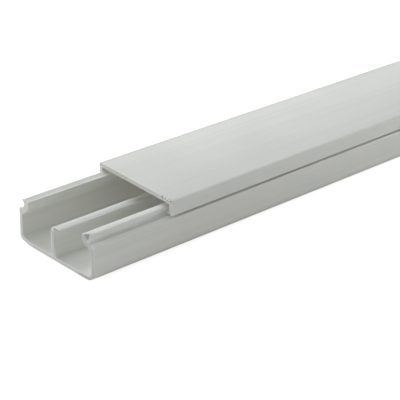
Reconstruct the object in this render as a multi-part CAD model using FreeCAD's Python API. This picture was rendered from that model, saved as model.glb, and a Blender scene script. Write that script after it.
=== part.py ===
import FreeCAD, Part
import math
import os

# A 40 x 20 mm two-compartment cable raceway, sold in straight lengths: an extruded base channel with a
# divider, a clip-on cover that slides along it, and an adhesive tape with its release liner below.
# X runs along the length, with the open end at -X. Y runs across the width, with the far wall at +Y,
# and Z is up. The origin is at the middle of the liner's underside. Sizes are in millimetres, and
# heights in a section are measured from the underside of the floor.

# Overall sizes
stock_length = 400.0
overall_width = 40.0
overall_height = 19.6
cover_setback = 34.0  # length of base left open at the near end

# Base channel. An inset is measured from the wall's outer side, and a drop from the lips' top.
floor_thickness = 1.3
wall_thickness = 1.5
near_corner_radius = 3.8
near_inner_radius = 2.2
far_corner_radius = 1.4  # where the bowed edge of the floor meets the wall
far_inner_radius = 0.5
far_bow_radius = 16.0
far_inner_bow_radius = 15.0
far_bow_degrees = 20.0
shoulder_drop = 2.9  # at the groove
shoulder_inset = 1.8
shoulder_rise = 0.4
shoulder_radius = 0.65
far_neck_inset = 5.1
near_neck_inset = 5.95
neck_thickness = 2.3
neck_bend_drop = 1.9  # where the neck's inner side turns outward
neck_root_drop = 6.2  # where it meets the wall's inner side
neck_crown_radius = 1.8
neck_root_radius = 1.1
lip_headroom = 1.6  # between the lips' top and the cover's plate

# Lips, which have a rounded inner edge. The far one has a lead-in behind its tip and a shallow sink
# over the neck. The near one is flat, with a round nose.
lip_tip_thickness = 0.35
lip_edge_radius = 0.35
far_lip_inset = 1.75
far_lip_rise = 0.3  # from the inner edge to the lead-in's crest
far_lead_width = 1.0
far_lead_drop = 0.08
far_sink = 0.08
far_edge_width = 0.9
near_lip_inset = 2.6
near_nose_radius = 0.9

# Divider, which bows to the far side and has a flange to the near side. Places are of its far side,
# from the middle.
divider_foot = 2.1
divider_waist = 2.75
divider_shoulder = 2.6
divider_foot_thickness = 1.8
divider_top_thickness = 1.3
divider_drop = 3.85
divider_bend_radius = 1.7
divider_flange_reach = 4.8
divider_flange_thickness = 0.5
divider_foot_radius = 0.8

# Cover
plate_thickness = 1.7
leg_thickness = 1.6
leg_foot_thickness = 0.5  # at its bottom, where the hook's lead-in starts
cover_edge_radius = 0.8
leg_gap = 0.5  # between a leg's bottom and the shoulder that it stands over
far_hook_reach = 0.6  # inward from the leg
near_hook_reach = 1.2
hook_point_drop = 0.3  # of its point from its top
snap_clearance = 0.3  # between a hook's top and the lip over it

# Saw cuts at the near end, in degrees out of square
base_cut_skew = 1.3
cover_cut_skew = -0.85
saw_allowance = 2.0

# Chip broken from the near lip at the open end
chip_length = 2.4
chip_depth = 1.3
chip_edge = 0.5  # what is left of the lip's inner edge

# Tape and liner
tape_end_margin = 2.0
tape_width = 29.0
tape_thickness = 0.5
liner_thickness = 0.12

half_width = overall_width / 2
half_length = stock_length / 2
base_underside = liner_thickness + tape_thickness
plate_underside = overall_height - plate_thickness
lip_top_height = plate_underside - lip_headroom
shoulder_top = lip_top_height - shoulder_drop
far_tip_top = lip_top_height + far_lip_rise - far_lead_drop
near_tip_top = lip_top_height - near_nose_radius


def arc_points(centre, radius, first_degrees, last_degrees):
    """Start, middle and end of an arc of the section. Angles go from inward to up."""
    points = []
    for degrees in (first_degrees, (first_degrees + last_degrees) / 2, last_degrees):
        turn = math.radians(degrees)
        points.append((centre[0] + radius * math.cos(turn), centre[1] + radius * math.sin(turn)))
    return points


def neck_arcs(neck_inset):
    """The crown and the root of a neck's inner side, with a straight slope between them."""
    crown_centre = (neck_inset - neck_crown_radius, lip_top_height - neck_bend_drop)
    root_centre = (wall_thickness + neck_root_radius, lip_top_height - neck_root_drop)
    across = root_centre[0] - crown_centre[0]
    down = crown_centre[1] - root_centre[1]
    reach = neck_crown_radius + neck_root_radius
    slope = math.degrees(math.atan2(down, across) - math.acos(reach / math.hypot(across, down)))
    crown = arc_points(crown_centre, neck_crown_radius, 0, -slope)
    root = arc_points(root_centre, neck_root_radius, 180 - slope, 180)
    return [crown, root]


def lip_edge(neck_inset):
    centre = (neck_inset - lip_edge_radius, lip_top_height - lip_edge_radius)
    return arc_points(centre, lip_edge_radius, 90, 0)


def far_lip_top():
    """From the tip over the lead-in and the sink to the inner edge."""
    crest = (far_lip_inset + far_lead_width, lip_top_height + far_lip_rise)
    sink_end = (far_neck_inset - far_edge_width, lip_top_height)
    sunk = ((crest[0] + sink_end[0]) / 2, (crest[1] + sink_end[1]) / 2 - far_sink)
    lead_radius = (far_lead_width**2 + far_lead_drop**2) / (2 * far_lead_drop)
    lead_reach = math.degrees(math.asin(far_lead_width / lead_radius))
    lead_in = arc_points((crest[0], crest[1] - lead_radius), lead_radius, 90 + lead_reach, 90)
    return [lead_in, [crest, sunk, sink_end], lip_edge(far_neck_inset)]


def near_lip_top():
    """From the tip round the nose and over to the inner edge."""
    nose_centre = (near_lip_inset + near_nose_radius, near_tip_top)
    return [arc_points(nose_centre, near_nose_radius, 180, 90), lip_edge(near_neck_inset)]


def round_corner(radius, wall_inset, floor_height):
    """From the floor to the wall, whose surfaces lie at this height and inset."""
    return [arc_points((wall_inset + radius, floor_height + radius), radius, 270, 180)]


def bowed_corner(radius, bow_radius, wall_inset, floor_height):
    """From the floor, up its shallow bow and round a tight corner to the wall."""
    turn = math.radians(far_bow_degrees)
    meeting_inset = wall_inset + radius * (1 - math.sin(turn))
    meeting_height = floor_height + bow_radius * (1 - math.cos(turn))
    bow_centre = (meeting_inset + bow_radius * math.sin(turn), floor_height + bow_radius)
    corner_centre = (wall_inset + radius, meeting_height + radius * math.cos(turn))
    bow = arc_points(bow_centre, bow_radius, 270, 270 - far_bow_degrees)
    return [bow, arc_points(corner_centre, radius, 270 - far_bow_degrees, 180)]


def groove_height(tip_top):
    """Of the groove's deepest place, midway between the shoulder and the lip's underside."""
    return (shoulder_top + tip_top - lip_tip_thickness) / 2


def wall_pieces(outer_corner, lip_inset, tip_top, neck_inset, top_pieces, inner_corner):
    """A wall's outline from the underside, up its outer side, over the lip and down to the floor.
    A piece is two points for a line or three for an arc. Points are inset and height."""
    shoulder_centre = (shoulder_radius, shoulder_top - shoulder_rise - shoulder_radius)
    groove_middle = (neck_inset - neck_thickness, groove_height(tip_top))
    return [
        *outer_corner,
        arc_points(shoulder_centre, shoulder_radius, 180, 90),
        [(shoulder_inset, shoulder_top), groove_middle, (lip_inset, tip_top - lip_tip_thickness)],
        *top_pieces,
        *neck_arcs(neck_inset),
        *reversed_way(inner_corner),
    ]


def placed(pieces, side):
    """The pieces as points of the section, at the far wall (side 1) or the near wall (side -1)."""
    moved = []
    for piece in pieces:
        moved.append([(side * (half_width - inset), height) for inset, height in piece])
    return moved


def reversed_way(pieces):
    return [list(reversed(piece)) for piece in reversed(pieces)]


def divider_pieces():
    """The divider's outline from the floor at its far side, over its flange, to the floor again."""
    bend_height = lip_top_height - divider_drop - divider_bend_radius
    bend_centre = (divider_shoulder - divider_bend_radius, bend_height)
    inner_radius = divider_bend_radius - divider_flange_thickness
    inner_y = divider_shoulder - divider_top_thickness
    inner_centre = (inner_y - inner_radius, bend_height)
    outer_bend = arc_points(bend_centre, divider_bend_radius, 0, 90)
    inner_bend = arc_points(inner_centre, inner_radius, 90, 0)
    flange_tip = divider_shoulder - divider_flange_reach
    places = (divider_foot, divider_waist, divider_shoulder)
    waist_thickness = (divider_foot_thickness + divider_top_thickness) / 2
    thicknesses = (divider_foot_thickness, waist_thickness, divider_top_thickness)
    foot_height = floor_thickness + divider_foot_radius
    heights = (foot_height, (foot_height + bend_height) / 2, bend_height)
    far_side = list(zip(places, heights))
    near_places = [place - thickness for place, thickness in zip(places, thicknesses)]
    near_side = list(zip(near_places, heights))
    far_foot_centre = (places[0] + divider_foot_radius, foot_height)
    near_foot_centre = (near_places[0] - divider_foot_radius, foot_height)
    return [
        arc_points(far_foot_centre, divider_foot_radius, 270, 180),
        far_side,
        outer_bend,
        [(flange_tip, outer_bend[-1][1]), (flange_tip, inner_bend[0][1])],
        inner_bend,
        near_side[::-1],
        arc_points(near_foot_centre, divider_foot_radius, 0, -90),
    ]


def extruded(pieces, start_x, length):
    """A bar with the closed outline that the pieces make, each joined to the next by a line."""
    edges = []
    points = [[FreeCAD.Vector(start_x, y, base_underside + z) for y, z in piece] for piece in pieces]
    for place, piece in enumerate(points):
        if len(piece) == 3:
            edges.append(Part.Arc(*piece).toShape())
        else:
            edges.append(Part.LineSegment(*piece).toShape())
        following = points[(place + 1) % len(points)][0]
        if piece[-1].distanceToPoint(following) > 1e-6:
            edges.append(Part.LineSegment(piece[-1], following).toShape())
    return Part.Face(Part.Wire(edges)).extrude(FreeCAD.Vector(length, 0, 0))


def section_point(x, inset, height):
    """The place on the near wall at this x, inset and height."""
    return FreeCAD.Vector(x, inset - half_width, base_underside + height)


def sawn(bar, cut_x, skew):
    """The bar without what lies beyond the saw cut at cut_x, which is skew degrees out of square."""
    size = 4 * overall_width
    waste = Part.makeBox(size, size, size, FreeCAD.Vector(-size, -size / 2, -size / 2))
    waste.rotate(FreeCAD.Vector(0, 0, 0), FreeCAD.Vector(0, 0, 1), skew)
    waste.translate(FreeCAD.Vector(cut_x, 0, 0))
    return bar.cut(waste)


def chipped(bar):
    """The bar without the corner of its near lip, which broke off along a slanted face."""
    end = -half_length
    inner_side = section_point(end, near_neck_inset - chip_edge, lip_top_height)
    groove_side = section_point(end, near_neck_inset - neck_thickness, lip_top_height - chip_depth)
    lip_tip = section_point(end + chip_length, near_lip_inset, near_tip_top)
    normal = (groove_side - inner_side).cross(lip_tip - inner_side)
    size = 4 * overall_width
    broken = Part.makeBox(size, size, size, FreeCAD.Vector(-size / 2, -size / 2, 0))
    broken.Placement = FreeCAD.Placement(inner_side, FreeCAD.Rotation(FreeCAD.Vector(0, 0, 1), normal))
    above_groove = FreeCAD.Vector(end - size / 2, -size, base_underside + groove_height(near_tip_top))
    return bar.cut(broken.common(Part.makeBox(size, size, size, above_groove)))


def far_wall():
    outer = bowed_corner(far_corner_radius, far_bow_radius, 0, 0)
    inner = bowed_corner(far_inner_radius, far_inner_bow_radius, wall_thickness, floor_thickness)
    return wall_pieces(outer, far_lip_inset, far_tip_top, far_neck_inset, far_lip_top(), inner)


def near_wall():
    outer = round_corner(near_corner_radius, 0, 0)
    inner = round_corner(near_inner_radius, wall_thickness, floor_thickness)
    return wall_pieces(outer, near_lip_inset, near_tip_top, near_neck_inset, near_lip_top(), inner)


def base_channel():
    outline = placed(far_wall(), 1) + divider_pieces() + reversed_way(placed(near_wall(), -1))
    bar = extruded(outline, -half_length - saw_allowance, stock_length + saw_allowance)
    return chipped(sawn(bar, -half_length, base_cut_skew))


def leg_pieces(hook_reach, tip_top):
    """A leg's outline, from the plate's top round the outer edge, down to the hook and up inside."""
    bottom = shoulder_top + leg_gap
    hook_top = tip_top - lip_tip_thickness - snap_clearance
    edge_centre = (cover_edge_radius, overall_height - cover_edge_radius)
    return [
        arc_points(edge_centre, cover_edge_radius, 90, 180),
        [(0, bottom), (leg_foot_thickness, bottom)],
        [(leg_thickness + hook_reach, hook_top - hook_point_drop), (leg_thickness, hook_top)],
        [(leg_thickness, hook_top), (leg_thickness, plate_underside)],
    ]


def cover():
    start = -half_length + cover_setback
    far = placed(leg_pieces(far_hook_reach, far_tip_top), 1)
    near = reversed_way(placed(leg_pieces(near_hook_reach, near_tip_top), -1))
    bar = extruded(far + near, start - saw_allowance, stock_length + saw_allowance)
    return sawn(bar, start, cover_cut_skew)


def strip(width, thickness, underside):
    corner = FreeCAD.Vector(-half_length + tape_end_margin, -width / 2, underside)
    return Part.makeBox(stock_length - 2 * tape_end_margin, width, thickness, corner)


os.makedirs("parts", exist_ok=True)
base_channel().exportStep("parts/base_channel.step")
cover().exportStep("parts/cover.step")
strip(tape_width, tape_thickness, liner_thickness).exportStep("parts/adhesive_tape.step")
strip(tape_width, liner_thickness, 0).exportStep("parts/release_liner.step")
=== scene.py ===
import bmesh
import bpy
import math
import random
from mathutils import Euler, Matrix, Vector


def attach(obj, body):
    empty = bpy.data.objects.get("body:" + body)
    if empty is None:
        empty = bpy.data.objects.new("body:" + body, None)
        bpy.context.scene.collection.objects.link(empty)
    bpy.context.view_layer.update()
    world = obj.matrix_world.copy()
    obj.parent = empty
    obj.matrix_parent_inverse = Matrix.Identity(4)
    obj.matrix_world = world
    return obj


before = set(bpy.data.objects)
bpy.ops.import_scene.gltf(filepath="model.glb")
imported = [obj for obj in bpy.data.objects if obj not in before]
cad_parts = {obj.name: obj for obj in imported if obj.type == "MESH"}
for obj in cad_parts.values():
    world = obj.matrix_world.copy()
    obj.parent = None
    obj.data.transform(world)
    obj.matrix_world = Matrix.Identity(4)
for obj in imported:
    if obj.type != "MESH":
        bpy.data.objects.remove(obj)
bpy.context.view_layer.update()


# Base channel
# The channel is one extrusion of white PVC, with a floor, two grooved walls and a bowed divider. The
# die leaves faint lines along it and the saw leaves dull, scored ends. The near lip's corner is
# broken off at the open end.

def feed(tree, socket, value):
    """Links an output to the socket, or sets the socket's own value."""
    if isinstance(value, bpy.types.NodeSocket):
        tree.links.new(value, socket)
    else:
        socket.default_value = value


def add_node(tree, kind, settings=None, **inputs):
    """A shader node with its settings, and with its inputs fed by name."""
    made = tree.nodes.new("ShaderNode" + kind)
    for name, value in (settings or {}).items():
        setattr(made, name, value)
    for name, value in inputs.items():
        feed(tree, made.inputs[name.replace("_", " ")], value)
    return made


def calc(tree, operation, *values):
    """The output of a Math node with these values."""
    made = add_node(tree, "Math", {"operation": operation})
    for socket, value in zip(made.inputs, values):
        feed(tree, socket, value)
    return made.outputs[0]


def ramp(tree, value, low, high, from_value=0.0, to_value=1.0):
    """A smooth step from from_value to to_value, while the value goes from low to high."""
    made = add_node(tree, "MapRange", {"interpolation_type": "SMOOTHSTEP"}, Value=value)
    made.inputs["From Min"].default_value = low
    made.inputs["From Max"].default_value = high
    made.inputs["To Min"].default_value = from_value
    made.inputs["To Max"].default_value = to_value
    return made.outputs["Result"]


def overlap(tree, mask, *others):
    """Where all the masks hold."""
    for other in others:
        mask = calc(tree, "MULTIPLY", mask, other)
    return mask


def within(tree, value, *borders):
    """Where the value is past each soft border, which goes from its first number to its second."""
    return overlap(tree, *(ramp(tree, value, *border) for border in borders))


def blend_colour(tree, amount, first, second, way="MIX"):
    """The first colour blended with the second by the amount."""
    made = add_node(tree, "Mix", {"data_type": "RGBA", "blend_type": way})
    feed(tree, made.inputs[0], amount)
    feed(tree, made.inputs[6], first)
    feed(tree, made.inputs[7], second)
    return made.outputs[2]


def tinted(tree, surface, tint, *masks):
    """The surface multiplied by the tint where all the masks hold."""
    return blend_colour(tree, overlap(tree, *masks), surface, tint, "MULTIPLY")


def stretched_noise(tree, place, scale, detail=3.0, roughness=0.55):
    """Noise between 0 and 1 with its own scale along each axis, in features a metre."""
    mapping = add_node(tree, "Mapping", Vector=place, Scale=scale)
    made = add_node(tree, "TexNoise", Vector=mapping.outputs[0], Detail=detail, Roughness=roughness)
    made.inputs["Scale"].default_value = 1.0
    return made.outputs["Fac"]


def new_group(name, inputs, outputs):
    """An empty shader node group with float inputs by name and default, and its outputs."""
    group = bpy.data.node_groups.new(name, "ShaderNodeTree")
    for title, value in inputs.items():
        socket = group.interface.new_socket(title, in_out="INPUT", socket_type="NodeSocketFloat")
        socket.default_value = value
    for title in outputs:
        group.interface.new_socket(title, in_out="OUTPUT", socket_type="NodeSocketFloat")
    entry = group.nodes.new("NodeGroupInput")
    leave = group.nodes.new("NodeGroupOutput")
    return group, entry.outputs, leave.inputs


def place_group(tree, group, **inputs):
    """The outputs of the group, placed in the tree with these inputs."""
    made = add_node(tree, "Group", {"node_tree": group}, **inputs)
    return made.outputs


def new_material(name):
    """A material with its node tree and its Principled shader."""
    material = bpy.data.materials.new(name)
    material.use_nodes = True
    return material, material.node_tree, material.node_tree.nodes["Principled BSDF"]


# Lines that the extrusion die leaves along the length, fine and broad, in features a metre
fine_along = 7.0
broad_scale = (3.0, 160.0, 160.0)
noise_middle = (0.3, 0.7)
die_lines, given, result = new_group("die_lines", {"Fine Lines": 1100.0}, ["Fine", "Broad", "Height"])
spot = add_node(die_lines, "TexCoord").outputs["Object"]
fine_scale = add_node(die_lines, "CombineXYZ", X=fine_along, Y=given["Fine Lines"], Z=given["Fine Lines"])
fine_place = add_node(die_lines, "VectorMath", {"operation": "MULTIPLY"})
feed(die_lines, fine_place.inputs[0], spot)
feed(die_lines, fine_place.inputs[1], fine_scale.outputs[0])
fine = add_node(die_lines, "TexNoise", Vector=fine_place.outputs[0], Scale=1.0, Detail=2.0)
broad = stretched_noise(die_lines, spot, broad_scale, 2.0)
feed(die_lines, result["Fine"], within(die_lines, fine.outputs["Fac"], noise_middle))
feed(die_lines, result["Broad"], within(die_lines, broad, noise_middle))
feed(die_lines, result["Height"], calc(die_lines, "ADD", fine.outputs["Fac"], broad))

# Scored, dull face that the saw leaves on an end, where the surface faces along the length
facing_endward = (0.8, 0.95)
score_slant = 0.35
score_wander = 0.0012
stroke_share = 0.2
score_contrast = (0.25, 0.85)
wander_scale = (400.0, 90.0, 90.0)
grit_scale = (2500.0, 2500.0, 5000.0)
saw_face, given, result = new_group("saw_face", {"Score Spacing": 0.0006}, ["Cut", "Scores", "Height"])
coords = add_node(saw_face, "TexCoord").outputs
endward = add_node(saw_face, "SeparateXYZ", Vector=coords["Normal"]).outputs["X"]
endward = calc(saw_face, "ABSOLUTE", endward)
feed(saw_face, result["Cut"], within(saw_face, endward, facing_endward))
point = add_node(saw_face, "SeparateXYZ", Vector=coords["Object"]).outputs
wander = stretched_noise(saw_face, coords["Object"], wander_scale, 2.0)
slanted = calc(saw_face, "MULTIPLY_ADD", point["Y"], score_slant, point["Z"])
slanted = calc(saw_face, "MULTIPLY_ADD", wander, score_wander, slanted)
stroke = calc(saw_face, "DIVIDE", slanted, given["Score Spacing"])
stroke = calc(saw_face, "SINE", calc(saw_face, "MULTIPLY", stroke, math.tau))
grit = stretched_noise(saw_face, coords["Object"], grit_scale)
scores = calc(saw_face, "ADD", calc(saw_face, "MULTIPLY", stroke, stroke_share), grit)
feed(saw_face, result["Scores"], within(saw_face, scores, score_contrast))
feed(saw_face, result["Height"], scores)

# Faint handled patches that change the sheen, and small darker specks
specks_a_metre = 2600.0
patch_contrast = (0.35, 0.65)
speck_contrast = (0.62, 0.8)
handling, given, result = new_group("handling", {"Patch Size": 0.02}, ["Sheen", "Speck"])
spot = add_node(handling, "TexCoord").outputs["Object"]
patch_scale = calc(handling, "DIVIDE", 1.0, given["Patch Size"])
patches = add_node(handling, "TexNoise", Vector=spot, Scale=patch_scale, Detail=4.0)
specks = add_node(handling, "TexNoise", Vector=spot, Scale=specks_a_metre, Detail=2.0)
feed(handling, result["Sheen"], within(handling, patches.outputs["Fac"], patch_contrast))
feed(handling, result["Speck"], within(handling, specks.outputs["Fac"], speck_contrast))

# Painted highlight: a paler colour on the convex edges that face up or lie round an end
highlight_upward = (0.3, 0.8)
highlight_endward = (0.6, 0.9)
endward_share = 0.5
edge_room = (1.0, 0.7)
painted_edge_highlights, given, result = new_group("painted_edge_highlights", {"Reach": 0.0005}, ["Rubbed"])
look_inside = {"inside": True, "only_local": True, "samples": 12}
room = add_node(painted_edge_highlights, "AmbientOcclusion", look_inside, Distance=given["Reach"]).outputs["AO"]
coords = add_node(painted_edge_highlights, "TexCoord").outputs
facing = add_node(painted_edge_highlights, "SeparateXYZ", Vector=coords["Normal"]).outputs
upward = within(painted_edge_highlights, facing["Z"], highlight_upward)
endward = calc(painted_edge_highlights, "ABSOLUTE", facing["X"])
endward = ramp(painted_edge_highlights, endward, *highlight_endward, 0.0, endward_share)
lit_facing = calc(painted_edge_highlights, "MAXIMUM", upward, endward)
feed(painted_edge_highlights, result["Rubbed"], overlap(painted_edge_highlights, within(painted_edge_highlights, room, edge_room), lit_facing))

# How strongly the marks of making and handling, and the painted edge highlight, show on the PVC, and their
# heights in metres
broad_share = 0.3
line_shade = 0.55
speck_shade = 0.2
edge_highlight_strength = 0.8
edge_highlight_white = (0.97, 0.98, 0.96, 1)
plain_roughness = 0.36
patch_roughness = 0.1
line_roughness = 0.06
cut_roughness = 0.3
line_height = 0.000012
patch_height = 0.00002
score_height = 0.00012


def pvc(name, colour, shade, cut_colour, fine_lines, marks):
    """White extruded PVC with die lines, handled patches, sawn ends, a painted highlight on convex edges
    and the piece's own marks.
    """
    material, tree, shader = new_material(name)
    lines = place_group(tree, die_lines, Fine_Lines=fine_lines)
    saw = place_group(tree, saw_face)
    touch = place_group(tree, handling)
    edge_highlight = place_group(tree, painted_edge_highlights)["Rubbed"]
    lined = calc(tree, "MULTIPLY_ADD", lines["Broad"], broad_share, lines["Fine"])
    body = blend_colour(tree, calc(tree, "MULTIPLY", lined, line_shade), colour, shade)
    body = blend_colour(tree, calc(tree, "MULTIPLY", touch["Speck"], speck_shade), body, shade)
    scored = blend_colour(tree, saw["Scores"], cut_colour, colour)
    surface = blend_colour(tree, saw["Cut"], body, scored)
    # Painted highlight: convex edges are blended towards a paler white
    surface = blend_colour(tree, calc(tree, "MULTIPLY", edge_highlight, edge_highlight_strength), surface, edge_highlight_white)
    feed(tree, shader.inputs["Base Color"], marks(tree, surface, saw["Cut"]))
    dull = calc(tree, "MULTIPLY_ADD", touch["Sheen"], patch_roughness, plain_roughness)
    dull = calc(tree, "MULTIPLY_ADD", lines["Fine"], line_roughness, dull)
    dull = calc(tree, "MULTIPLY_ADD", saw["Cut"], cut_roughness, dull)
    feed(tree, shader.inputs["Roughness"], dull)
    relief = calc(tree, "MULTIPLY", lines["Height"], line_height)
    relief = calc(tree, "MULTIPLY_ADD", touch["Sheen"], patch_height, relief)
    scoring = calc(tree, "MULTIPLY", overlap(tree, saw["Height"], saw["Cut"]), score_height)
    bump = add_node(tree, "Bump", Height=calc(tree, "ADD", relief, scoring), Strength=0.6, Distance=1.0)
    feed(tree, shader.inputs["Normal"], bump.outputs[0])
    shader.inputs["IOR"].default_value = 1.53
    shader.inputs["Subsurface Weight"].default_value = 0.25
    shader.inputs["Subsurface Radius"].default_value = (1.0, 0.93, 0.86)
    shader.inputs["Subsurface Scale"].default_value = 0.003
    return material


weld_distance = 0.000002
edge_width = 0.00012
sharp_angle = math.radians(40)


def eased(piece):
    """Welds the piece's faces and eases its sharp edges, as the die and handling do."""
    for polygon in piece.data.polygons:
        polygon.use_smooth = True
    weld = piece.modifiers.new("weld", "WELD")
    weld.merge_threshold = weld_distance
    ease = piece.modifiers.new("eased_edges", "BEVEL")
    ease.width = edge_width
    ease.segments = 2
    ease.limit_method = "ANGLE"
    ease.angle_limit = sharp_angle
    ease.harden_normals = True


# Soft borders on the channel's section, in metres, each from just outside an area to just inside it
near_wall_side = (-0.0105, -0.0135)
flange_edge = (-0.0026, -0.0024)
flange_bend = (0.0013, 0.0009)
flange_underside = (0.0114, 0.0117)
floor_underside = (0.0011, 0.0008)
divider_near = (-0.0075, -0.0065)
divider_far = (0.0075, 0.0065)
divider_foot = (0.002, 0.003)
divider_bend = (0.0117, 0.0114)
lip_top_height = (0.0165, 0.017)
far_lip_start = (0.01, 0.012)
far_inner_highlight_stop = (0.0158, 0.0155)
far_outer_highlight_start = (0.0173, 0.0177)
far_lip_shade_start = (0.0156, 0.0159)
far_lip_shade_stop = (0.0175, 0.0172)
near_lip_start = (-0.01, -0.012)
near_inner_highlight_stop = (-0.0151, -0.0147)
groove_back = (-0.0135, -0.0139)
groove_mouth = (-0.0176, -0.0171)
groove_bottom = (0.0124, 0.013)
groove_top = (0.0155, 0.015)

# The broken corner's flat facet: where it faces, how near to that counts, its foot and slanting end
facet_direction = (-0.364, -0.545, 0.755)
facet_likeness = (0.94, 0.975)
facet_foot = (0.0151, 0.0154)
facet_slant = -0.965
facet_end = (-0.2142, -0.2146)

# How far a surface faces up, or to the near side, before it counts
facing_up = (0.5, 0.8)
facing_near = (-0.2, -0.6)

# Tints of the darker places: the painted shade under the flange, along the floor's underside, on the broken
# facet and in the far lip's middle, and the painted highlight colour of the lips' edges and the painted
# light of the groove, with their strengths
near_wall_tint = (0.76, 0.77, 0.76, 1)
under_flange_painted_shade = (0.5, 0.5, 0.49, 1)
floor_edge_painted_shade = (0.93, 0.95, 0.87, 1)
divider_tint = (0.88, 0.88, 0.88, 1)
facet_painted_shade = (0.6, 0.6, 0.58, 1)
far_lip_painted_shade = (0.93, 0.93, 0.93, 1)
lip_highlight_white = (0.95, 0.97, 0.96, 1)
lip_highlight_strength = 0.6
near_highlight_share = 0.4
groove_painted_light = (0.97, 0.98, 0.95, 1)
groove_light_strength = 0.7


def channel_marks(tree, surface, cut):
    """Darkens parts of the sawn end, paints shade at the flange, along the floor's underside and on the
    broken corner's facet, paints shade in the far lip's middle and highlights on the lips' edges, and
    paints light in the groove.
    """
    spot = add_node(tree, "TexCoord").outputs
    x, y, z = add_node(tree, "SeparateXYZ", Vector=spot["Object"]).outputs
    facing = add_node(tree, "SeparateXYZ", Vector=spot["Normal"]).outputs

    # The near wall's and the divider's sawn ends are darker
    surface = tinted(tree, surface, near_wall_tint, cut, within(tree, y, near_wall_side))
    # Painted shade: the sawn end of the divider's flange is darkened, standing in for the shadow beneath
    # the flange
    flange = overlap(tree, within(tree, y, flange_edge, flange_bend), within(tree, z, flange_underside))
    surface = tinted(tree, surface, under_flange_painted_shade, cut, flange)
    # Painted shade: the lowest strip of the sawn end, along the floor's underside, is darker and warmer
    surface = tinted(tree, surface, floor_edge_painted_shade, cut, within(tree, z, floor_underside))
    divider = within(tree, z, divider_foot, divider_bend)
    divider = overlap(tree, divider, within(tree, y, divider_near, divider_far))
    surface = tinted(tree, surface, divider_tint, cut, divider)

    # Painted shade: the broken corner's flat facet is darkened, as if it lay in shade
    alike = add_node(tree, "VectorMath", {"operation": "DOT_PRODUCT"})
    feed(tree, alike.inputs[0], spot["Normal"])
    feed(tree, alike.inputs[1], facet_direction)
    facet = overlap(tree, within(tree, alike.outputs["Value"], facet_likeness), within(tree, z, facet_foot))
    slanting = calc(tree, "MULTIPLY_ADD", z, facet_slant, x)
    surface = tinted(tree, surface, facet_painted_shade, facet, within(tree, slanting, facet_end))

    lip_top = overlap(tree, within(tree, facing["Z"], facing_up), within(tree, z, lip_top_height))
    # Painted shade: the middle of the far lip's top is darkened
    far_lip_shade = within(tree, y, far_lip_shade_start, far_lip_shade_stop)
    surface = tinted(tree, surface, far_lip_painted_shade, lip_top, far_lip_shade)
    # Painted highlight: paler lines along the lips' inner and outer top edges
    far_inner = within(tree, y, far_lip_start, far_inner_highlight_stop)
    far_outer = within(tree, y, far_outer_highlight_start)
    near_inner = within(tree, y, near_lip_start, near_inner_highlight_stop)
    near_inner = calc(tree, "MULTIPLY", near_inner, near_highlight_share)
    lip_highlight = calc(tree, "MAXIMUM", calc(tree, "MAXIMUM", far_inner, far_outer), near_inner)
    lip_highlight = calc(tree, "MULTIPLY", overlap(tree, lip_highlight, lip_top), lip_highlight_strength)
    surface = blend_colour(tree, lip_highlight, surface, lip_highlight_white)

    # Painted light: the groove under the near lip is lightened where it faces the near side, filling its
    # shade
    groove = within(tree, y, groove_back, groove_mouth)
    groove = overlap(tree, groove, within(tree, z, groove_bottom, groove_top))
    inner_face = ramp(tree, facing["Y"], *facing_near, 0.0, groove_light_strength)
    return blend_colour(tree, overlap(tree, groove, inner_face), surface, groove_painted_light)


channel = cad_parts["base_channel"]
channel_white = (0.81, 0.825, 0.785, 1)
channel_shade = (0.75, 0.765, 0.725, 1)
channel_cut = (0.65, 0.67, 0.63, 1)
channel_lines = 1100.0
channel.data.materials[0] = pvc(
    "channel_pvc", channel_white, channel_shade, channel_cut, channel_lines, channel_marks
)
eased(channel)


# Adhesive tape
# A strip of pale foam tape runs along the middle of the floor's underside. Its cells show on its
# cut edges.

foam_deep = (0.72, 0.74, 0.62, 1)
foam_pale = (0.80, 0.82, 0.72, 1)
foam_hollow_shade = (0.62, 0.64, 0.53, 1)
cells_a_metre = 3500.0
mottle_a_metre = 120.0
cell_edge = (0.02, 0.2)
cell_height = -0.00004

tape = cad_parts["adhesive_tape"]
tape_foam, tree, shader = new_material("tape_foam")
spot = add_node(tree, "TexCoord").outputs["Object"]
cells = add_node(tree, "TexVoronoi", {"feature": "DISTANCE_TO_EDGE"}, Vector=spot, Scale=cells_a_metre)
mottle = add_node(tree, "TexNoise", Vector=spot, Scale=mottle_a_metre, Detail=4.0).outputs["Fac"]
hollow = within(tree, cells.outputs["Distance"], cell_edge)
foam = blend_colour(tree, mottle, foam_deep, foam_pale)
# Painted shade: the cell hollows are coloured darker than the cell walls
feed(tree, shader.inputs["Base Color"], blend_colour(tree, hollow, foam, foam_hollow_shade))
feed(tree, shader.inputs["Roughness"], calc(tree, "MULTIPLY_ADD", hollow, 0.2, 0.65))
relief = calc(tree, "MULTIPLY", hollow, cell_height)
bump = add_node(tree, "Bump", Height=relief, Strength=0.8, Distance=1.0)
feed(tree, shader.inputs["Normal"], bump.outputs[0])
tape.data.materials[0] = tape_foam


# Release liner
# Amber coated paper covers the tape until it is stuck down. It has a soft gloss, short pale fibres
# and slight cockling.

amber_deep = (0.56, 0.29, 0.03, 1)
amber_pale = (0.68, 0.40, 0.06, 1)
fibre_amber = (0.78, 0.52, 0.12, 1)
clouds_a_metre = 55.0
fibre_scale = (350.0, 2400.0, 2400.0)
cross_fibre_scale = (2200.0, 500.0, 2200.0)
fibre_contrast = (0.55, 0.75)
fibre_strength = 0.45
fibre_height = 0.00001
cockle_height = 0.00025

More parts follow.
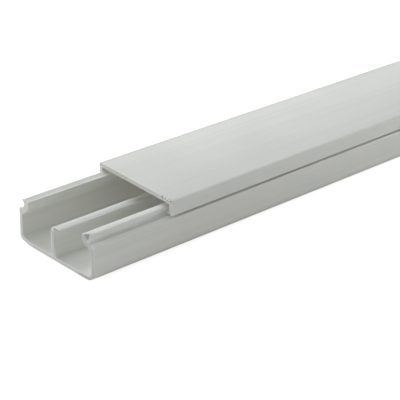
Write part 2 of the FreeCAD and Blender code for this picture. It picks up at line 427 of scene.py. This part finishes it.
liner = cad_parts["release_liner"]
liner_paper, tree, shader = new_material("liner_paper")
spot = add_node(tree, "TexCoord").outputs["Object"]
clouds = add_node(tree, "TexNoise", Vector=spot, Scale=clouds_a_metre, Detail=5.0, Roughness=0.6)
clouds = clouds.outputs["Fac"]
fibres = stretched_noise(tree, spot, fibre_scale, 4.0, 0.6)
cross_fibres = stretched_noise(tree, spot, cross_fibre_scale, 4.0, 0.6)
paper = blend_colour(tree, within(tree, clouds, noise_middle), amber_deep, amber_pale)
fibre = within(tree, calc(tree, "MAXIMUM", fibres, cross_fibres), fibre_contrast)
paper = blend_colour(tree, calc(tree, "MULTIPLY", fibre, fibre_strength), paper, fibre_amber)
feed(tree, shader.inputs["Base Color"], paper)
feed(tree, shader.inputs["Roughness"], ramp(tree, clouds, *noise_middle, 0.38, 0.52))
cockle = calc(tree, "MULTIPLY_ADD", clouds, cockle_height, calc(tree, "MULTIPLY", fibre, fibre_height))
bump = add_node(tree, "Bump", Height=cockle, Strength=0.5, Distance=1.0)
feed(tree, shader.inputs["Normal"], bump.outputs[0])
liner.data.materials[0] = liner_paper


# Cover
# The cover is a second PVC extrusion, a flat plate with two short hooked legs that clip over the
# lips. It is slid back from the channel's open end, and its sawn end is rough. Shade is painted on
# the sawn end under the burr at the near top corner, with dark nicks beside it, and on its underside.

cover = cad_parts["cover"]
cover_top = max(v.co.z for v in cover.data.vertices)
half_width = max(v.co.y for v in cover.data.vertices)
side_depth = 0.0001

# Soft borders on the cover, in metres, each from just outside an area to just inside it
burr_corner = (-0.0141, -0.0147)
under_burr_height = (0.0193, 0.0197)
nick_height = (0.0199, 0.0201)
nick_depth = (0.0006, 0.0004)

facing_down = (-0.6, -0.9)
nick_scale = (1100.0, 1500.0, 1100.0)
nick_contrast = (0.45, 0.56)
underside_painted_shade = (1, 0.95, 0.88, 1)
burr_painted_shade = (0.5, 0.5, 0.48, 1)


def cover_end(y):
    """Where the cover's sawn end is, between its two top corners."""
    ends = []
    for side in (-1, 1):
        ends.append(min(v.co.x for v in cover.data.vertices if v.co.y * side > half_width - side_depth))
    return ends[0] + (ends[1] - ends[0]) * (y + half_width) / (2 * half_width)


def cover_marks(tree, surface, cut):
    """Paints the underside warmer and darker, as shade, and paints shade under the burr and dark nicks
    beside it.
    """
    spot = add_node(tree, "TexCoord").outputs
    x, y, z = add_node(tree, "SeparateXYZ", Vector=spot["Object"]).outputs
    facing = add_node(tree, "SeparateXYZ", Vector=spot["Normal"]).outputs
    # Painted shade: faces that look down are tinted warmer and darker
    surface = tinted(tree, surface, underside_painted_shade, within(tree, facing["Z"], facing_down))

    # Painted shade under the burr on the sawn end, and dark nicks beside it drawn only as painted shade
    corner = within(tree, y, burr_corner)
    under_burr_shade = overlap(tree, cut, corner, within(tree, z, under_burr_height))
    skew = (cover_end(-half_width) - cover_end(half_width)) / (2 * half_width)
    from_end = calc(tree, "MULTIPLY_ADD", y, skew, x)
    from_end = calc(tree, "SUBTRACT", from_end, cover_end(0))
    rim = overlap(tree, within(tree, from_end, nick_depth), within(tree, z, nick_height))
    nicks = within(tree, stretched_noise(tree, spot["Object"], nick_scale, 2.0), nick_contrast)
    nicks = overlap(tree, nicks, corner, rim)
    return tinted(tree, surface, burr_painted_shade, calc(tree, "MAXIMUM", under_burr_shade, nicks))


cover_white = (0.80, 0.815, 0.775, 1)
cover_shade = (0.74, 0.755, 0.715, 1)
cover_cut = (0.60, 0.62, 0.58, 1)
cover_lines = 900.0
cover.data.materials[0] = pvc(
    "cover_pvc", cover_white, cover_shade, cover_cut, cover_lines, cover_marks
)
eased(cover)


# Burr
# A thin, torn rag of the same PVC stands out from the top edge of the cover's sawn end, at its near
# corner. It is one ragged strip that the saw left on the cover.

burr_start = -0.0195
burr_stop = burr_corner[0]
burr_steps = 17
burr_reach = 0.0014
burr_top = cover_top - 0.00004
burr_thickness = 0.0003
least_drop = 0.00002
most_sway = 0.00005
top_root = 0.0002
bottom_root = 0.0001
burr_deep = (0.84, 0.85, 0.83, 1)
burr_pale = (0.95, 0.96, 0.94, 1)
strain_a_metre = 4000.0

burr_random = random.Random(7)
burr_mesh = bpy.data.meshes.new("cover_burr")
burr_form = bmesh.new()
rings = []
for step in range(burr_steps + 1):
    share = step / burr_steps
    y = burr_start + (burr_stop - burr_start) * share
    # The strip is fullest a little before its middle, and dies out towards the far side
    fullness = math.sin(math.pi * min(share * 1.15 + 0.08, 1.0)) ** 0.6
    # Long slivers and short ones take turns, two steps each
    sliver = burr_random.uniform(0.7, 1.0) if step // 2 % 2 else burr_random.uniform(0.0, 0.25)
    reach = burr_reach * fullness * sliver
    drop = burr_random.uniform(least_drop, burr_thickness)
    sway = burr_random.uniform(-1, 1) * most_sway
    end = cover_end(y)
    ring = [
        burr_form.verts.new((end + top_root, y, burr_top)),
        burr_form.verts.new((end - reach * 0.5, y + sway, burr_top)),
        burr_form.verts.new((end - reach, y, burr_top - drop)),
        burr_form.verts.new((end + bottom_root, y, burr_top - burr_thickness)),
    ]
    rings.append(ring)
for ring, following in zip(rings, rings[1:]):
    for place in range(4):
        after = (place + 1) % 4
        burr_form.faces.new((ring[place], ring[after], following[after], following[place]))
burr_form.faces.new(rings[0][::-1])
burr_form.faces.new(rings[-1])
bmesh.ops.recalc_face_normals(burr_form, faces=burr_form.faces)
burr_form.to_mesh(burr_mesh)
burr_form.free()
burr = bpy.data.objects.new("cover_burr", burr_mesh)
bpy.context.collection.objects.link(burr)
burr_pvc, tree, shader = new_material("burr_pvc")
spot = add_node(tree, "TexCoord").outputs["Object"]
strain = add_node(tree, "TexNoise", Vector=spot, Scale=strain_a_metre).outputs["Fac"]
feed(tree, shader.inputs["Base Color"], blend_colour(tree, strain, burr_deep, burr_pale))
feed(tree, shader.inputs["Roughness"], ramp(tree, strain, *noise_middle, 0.4, 0.55))
bump = add_node(tree, "Bump", Height=strain, Strength=0.3, Distance=0.00005)
feed(tree, shader.inputs["Normal"], bump.outputs[0])
burr_mesh.materials.append(burr_pvc)
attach(burr, "cover")


# Studio
# The object lies on a plain white floor. Large soft lamps stand above it, beyond its far side and past
# both ends, a smaller one lights its near side, and a faint even surround fills the shade.

floor_half = 6
floor_drop = 0.00002
floor_white = (0.88, 0.88, 0.87, 1)
floor_glow = 0.8
surround_white = (0.98, 1, 1.02, 1)
surround_strength = 0.15

floor_corners = [(x * floor_half, y * floor_half, 0) for x, y in ((-1, -1), (1, -1), (1, 1), (-1, 1))]
floor_mesh = bpy.data.meshes.new("floor")
floor_mesh.from_pydata(floor_corners, [], [(0, 1, 2, 3)])
floor = bpy.data.objects.new("floor", floor_mesh)
bpy.context.collection.objects.link(floor)
floor.location.z = -floor_drop
floor_paint, tree, shader = new_material("floor_paint")
tree.nodes.remove(shader)
matt = add_node(tree, "BsdfDiffuse", Color=floor_white)
lift = add_node(tree, "Emission", Color=(1, 1, 1, 1))
seen = add_node(tree, "LightPath").outputs
feed(tree, lift.inputs["Strength"], calc(tree, "MULTIPLY", seen["Is Camera Ray"], floor_glow))
both = add_node(tree, "AddShader")
feed(tree, both.inputs[0], matt.outputs[0])
feed(tree, both.inputs[1], lift.outputs[0])
feed(tree, tree.nodes["Material Output"].inputs["Surface"], both.outputs[0])
floor_mesh.materials.append(floor_paint)

world = bpy.data.worlds.new("surround")
bpy.context.scene.world = world
world.use_nodes = True
tree = world.node_tree
air = tree.nodes["Background"]
air.inputs["Color"].default_value = surround_white
seen = add_node(tree, "LightPath").outputs
plain = calc(tree, "MAXIMUM", seen["Is Camera Ray"], seen["Is Transmission Ray"])
feed(tree, air.inputs["Strength"], calc(tree, "MAXIMUM", plain, surround_strength))


def soft_light(name, place, aim, width, height, power, tint):
    """A rectangular lamp at the place, turned to its aim and unseen by the camera."""
    lamp = bpy.data.lights.new(name, "AREA")
    lamp.shape = "RECTANGLE"
    lamp.size = width
    lamp.size_y = height
    lamp.energy = power
    lamp.color = tint
    holder = bpy.data.objects.new(name, lamp)
    holder.visible_camera = False
    holder.location = place
    holder.rotation_euler = (Vector(aim) - Vector(place)).to_track_quat("-Z", "Y").to_euler()
    bpy.context.collection.objects.link(holder)


soft_light("overhead", (0.1, 0.1, 1.4), (0, 0, 0), 1.2, 1.0, 4.25, (0.98, 1.01, 1.01))
soft_light("far_side_high", (0.1, 1.0, 1.0), (0, 0, 0), 1.2, 0.7, 7.2, (0.985, 1, 1.015))
soft_light("far_side_low", (0.1, 1.4, 0.4), (0, 0, 0), 1.2, 0.4, 4.6, (0.985, 1, 1.015))
soft_light("open_end", (-1.5, 0.08, 0.42), (0, 0, 0), 1.0, 0.6, 6.7, (1.03, 0.99, 0.98))
soft_light("covered_end", (1.0, 1.0, 0.7), (0, 0, 0), 0.8, 0.6, 2.3, (1, 1, 1))
soft_light("near_side", (0.42, -0.42, 0.09), (0.02, 0, 0), 0.35, 0.15, 1.5, (1.02, 1.0, 0.98))

# The camera's place, and its turn in degrees, are fitted to the channel's corners and long edges
camera_place = (-0.45158, -0.34488, 0.23610)
camera_turn = (63.5290, -1.2343, -41.8948)
lens = bpy.data.cameras.new("camera")
lens.lens = 130.21
lens.sensor_width = 36
lens.clip_start = 0.01
camera = bpy.data.objects.new("camera", lens)
camera.location = camera_place
camera.rotation_euler = Euler([math.radians(angle) for angle in camera_turn], "XYZ")
bpy.context.collection.objects.link(camera)
scene = bpy.context.scene
scene.camera = camera
scene.view_settings.view_transform = "Standard"
